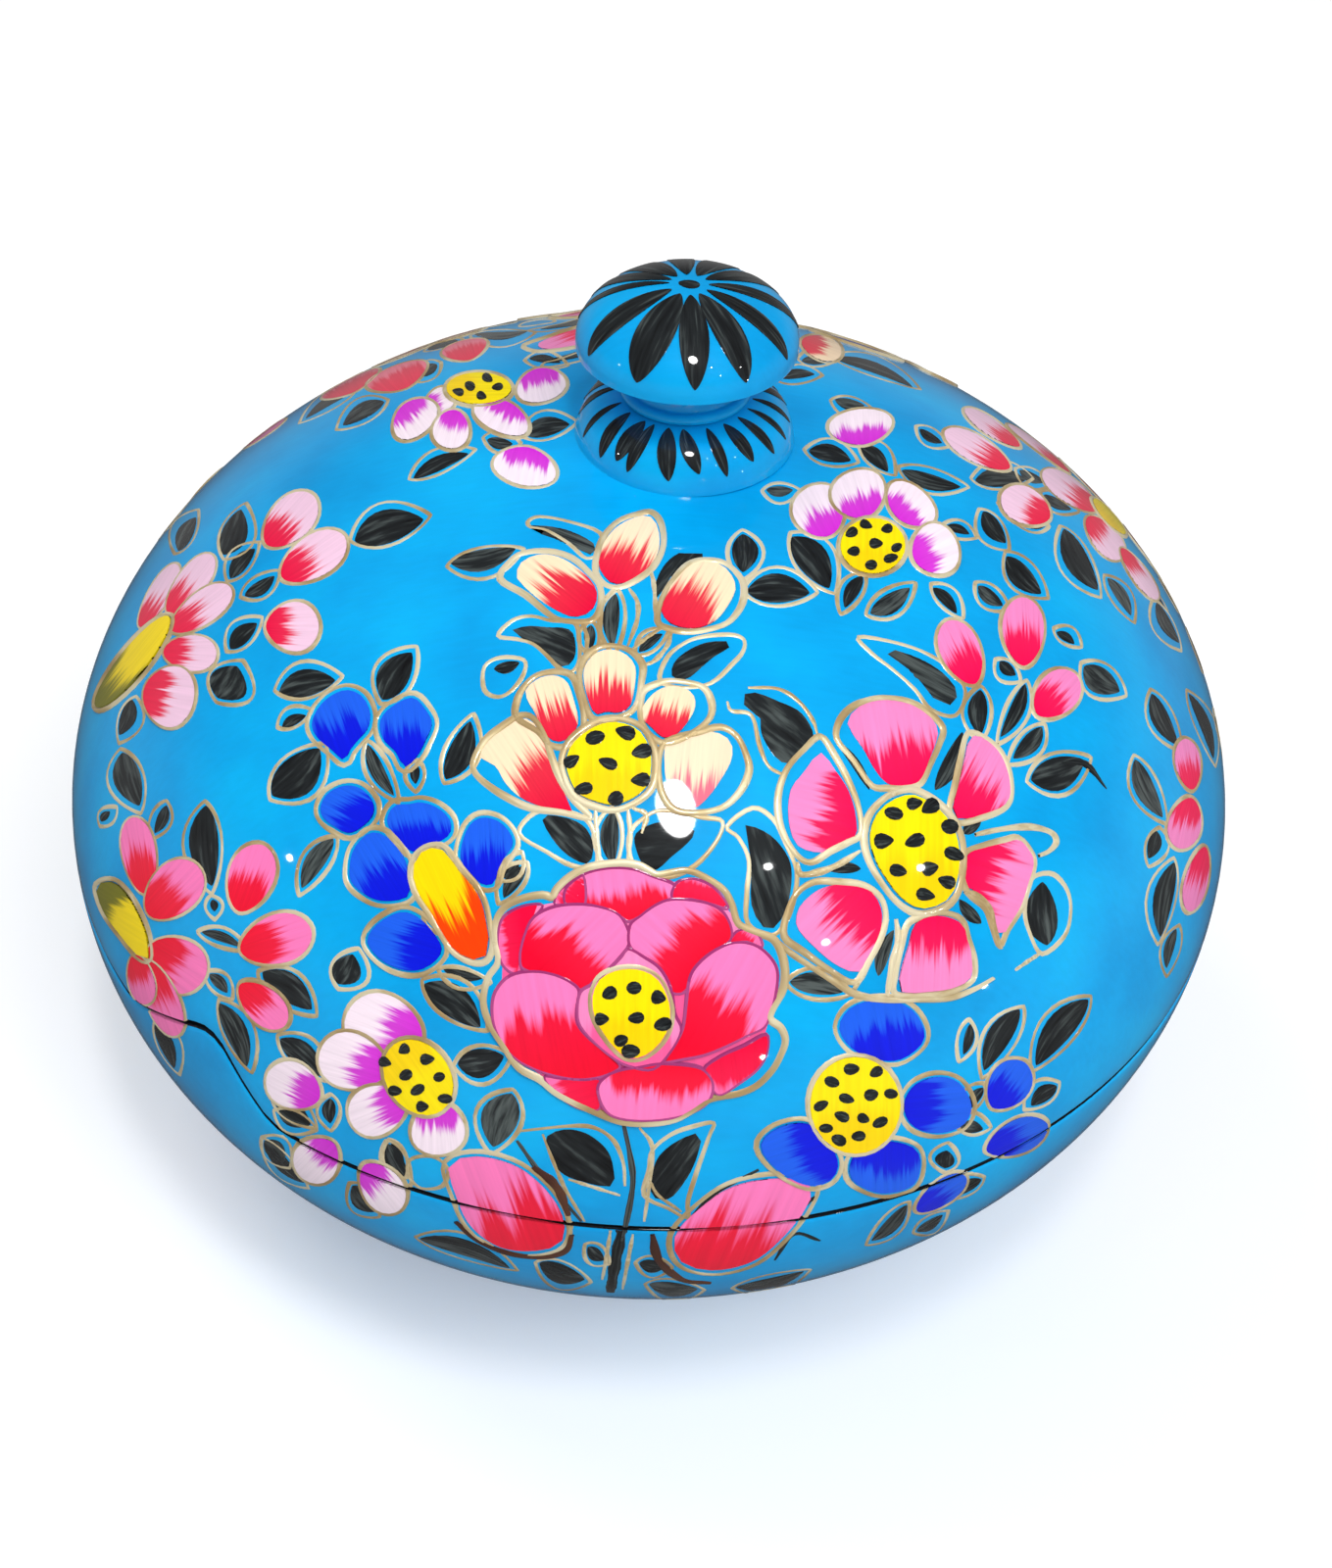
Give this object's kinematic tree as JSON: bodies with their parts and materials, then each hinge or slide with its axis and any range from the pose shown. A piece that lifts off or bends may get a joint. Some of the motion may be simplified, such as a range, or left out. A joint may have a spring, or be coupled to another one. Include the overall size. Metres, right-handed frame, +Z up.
{
  "type": "papier mache box",
  "caption": "Round painted papier mache box, a flattened ball sawn into a bowl and a lift-off lid with a turned knob, keyed seam and inner band.",
  "frame": {"origin": "centre of the flat underside, on the table", "axes": "+Z up through the crown towards the knob, -Y towards the viewer, +X to the viewer's right; the tongue in the seam is at the front left"},
  "size_m": [0.1, 0.1, 0.0822],
  "materials": {
    "painted_paper_shell": "turquoise ground with painted flowers under gloss lacquer, black lacquer inside",
    "black_pasteboard": "black lacquer",
    "painted_wood": "turquoise with black strokes under gloss lacquer"
  },
  "bodies": {
    "base": {"base_shell": "painted_paper_shell", "locating_collar": "black_pasteboard"},
    "lid": {"lid_shell": "painted_paper_shell", "knob": "painted_wood"}
  },
  "joints": [
    {"name": "lid_lift", "type": "slide", "parent": "base", "child": "lid", "axis": [0, 0, 1], "range_m": [0, 0.06]}
  ]
}
